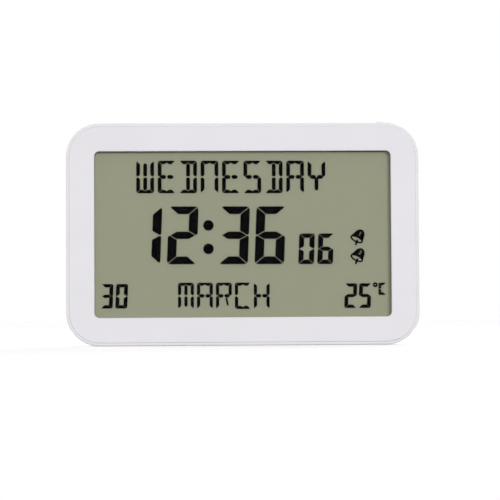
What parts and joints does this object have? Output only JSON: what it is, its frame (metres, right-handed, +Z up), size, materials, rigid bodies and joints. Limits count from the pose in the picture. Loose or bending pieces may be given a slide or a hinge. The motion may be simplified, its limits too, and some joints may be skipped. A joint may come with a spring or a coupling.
{
  "type": "digital day clock",
  "caption": "Table and wall clock in a white rounded housing with a wide segment display of weekday, time, date and temperature, a fold-out foot, keys and a battery compartment.",
  "frame": {"origin": "middle of the underside, half way through the depth, on the surface it stands on", "axes": "+X to the right as the display is read, +Z up; the display faces -Y"},
  "size_m": [0.2, 0.026, 0.1276],
  "materials": {
    "case_plastic": "fine satin moulded plastic",
    "bezel_plastic": "fine satin moulded plastic",
    "key_plastic": "satin moulded plastic",
    "clear_window": "clear, polished",
    "polariser_film": "clear film",
    "display_glass": "clear, polished",
    "reflector_film": "satin film",
    "gasket_foam": "matte",
    "connector_rubber": "matte",
    "inner_plastic": "satin moulded plastic",
    "board_laminate": "satin varnish",
    "chip_epoxy": "satin",
    "switch_plastic": "matte",
    "plunger_plastic": "satin",
    "sensor_epoxy": "satin",
    "plated_steel": "nickel plated",
    "crystal_can": "drawn metal",
    "sounder_brass": "satin",
    "sounder_ceramic": "satin silver coat",
    "battery_wrap": "printed film"
  },
  "bodies": {
    "clock": {"rear_case": "case_plastic", "front_bezel": "bezel_plastic", "display_window": "clear_window", "display_gasket": "gasket_foam", "front_polariser": "polariser_film", "display_front_glass": "display_glass", "display_rear_glass": "display_glass", "rear_reflector": "reflector_film", "display_retainer": "inner_plastic", "rubber_connector": "connector_rubber", "main_board": "board_laminate", "driver_chip": "chip_epoxy", "quartz_crystal": "crystal_can", "temperature_sensor": "sensor_epoxy", "switch_housings": "switch_plastic", "snooze_switch_housing": "switch_plastic", "upper_battery": "battery_wrap", "lower_battery": "battery_wrap", "positive_contact": "plated_steel", "negative_contact": "plated_steel", "linking_contact": "plated_steel", "linking_spring": "plated_steel", "negative_spring": "plated_steel", "sounder_disc": "sounder_brass", "sounder_ceramic": "sounder_ceramic", "case_screws": "plated_steel", "retainer_screws": "plated_steel", "board_screws": "plated_steel"},
    "foot": {"table_foot": "case_plastic"},
    "battery_cover": {"battery_door": "case_plastic", "battery_door_latch": "case_plastic"},
    "snooze": {"snooze_button": "case_plastic", "snooze_plunger": "plunger_plastic"},
    "reset": {"reset_plunger": "plunger_plastic"},
    "alarm_button": {"alarm_key": "key_plastic", "alarm_plunger": "plunger_plastic"},
    "mode_button": {"mode_key": "key_plastic", "mode_plunger": "plunger_plastic"},
    "up_button": {"up_key": "key_plastic", "up_plunger": "plunger_plastic"},
    "down_button": {"down_key": "key_plastic", "down_plunger": "plunger_plastic"},
    "light_button": {"light_key": "key_plastic", "light_plunger": "plunger_plastic"}
  },
  "joints": [
    {"name": "foot_hinge", "type": "hinge", "parent": "clock", "child": "foot", "pos_m": [0, 0.0108, 0.0096], "axis": [-1, 0, 0], "range_deg": [0, 90]},
    {"name": "battery_door_hinge", "type": "hinge", "parent": "clock", "child": "battery_cover", "pos_m": [0, 0.013, 0.0512], "axis": [-1, 0, 0], "range_deg": [0, 75], "deforming": ["battery_door_latch"]},
    {"name": "snooze_press", "type": "slide", "parent": "clock", "child": "snooze", "axis": [0, 0, -1], "range_m": [0, 0.0003], "stiffness_N_per_m": 200, "springref_m": -0.001},
    {"name": "reset_press", "type": "slide", "parent": "clock", "child": "reset", "axis": [0, -1, 0], "range_m": [0, 0.0003], "stiffness_N_per_m": 200, "springref_m": -0.001},
    {"name": "alarm_press", "type": "slide", "parent": "clock", "child": "alarm_button", "axis": [0, -1, 0], "range_m": [0, 0.0003], "stiffness_N_per_m": 200, "springref_m": -0.001},
    {"name": "mode_press", "type": "slide", "parent": "clock", "child": "mode_button", "axis": [0, -1, 0], "range_m": [0, 0.0003], "stiffness_N_per_m": 200, "springref_m": -0.001},
    {"name": "up_press", "type": "slide", "parent": "clock", "child": "up_button", "axis": [0, -1, 0], "range_m": [0, 0.0003], "stiffness_N_per_m": 200, "springref_m": -0.001},
    {"name": "down_press", "type": "slide", "parent": "clock", "child": "down_button", "axis": [0, -1, 0], "range_m": [0, 0.0003], "stiffness_N_per_m": 200, "springref_m": -0.001},
    {"name": "light_press", "type": "slide", "parent": "clock", "child": "light_button", "axis": [0, -1, 0], "range_m": [0, 0.0003], "stiffness_N_per_m": 200, "springref_m": -0.001}
  ]
}
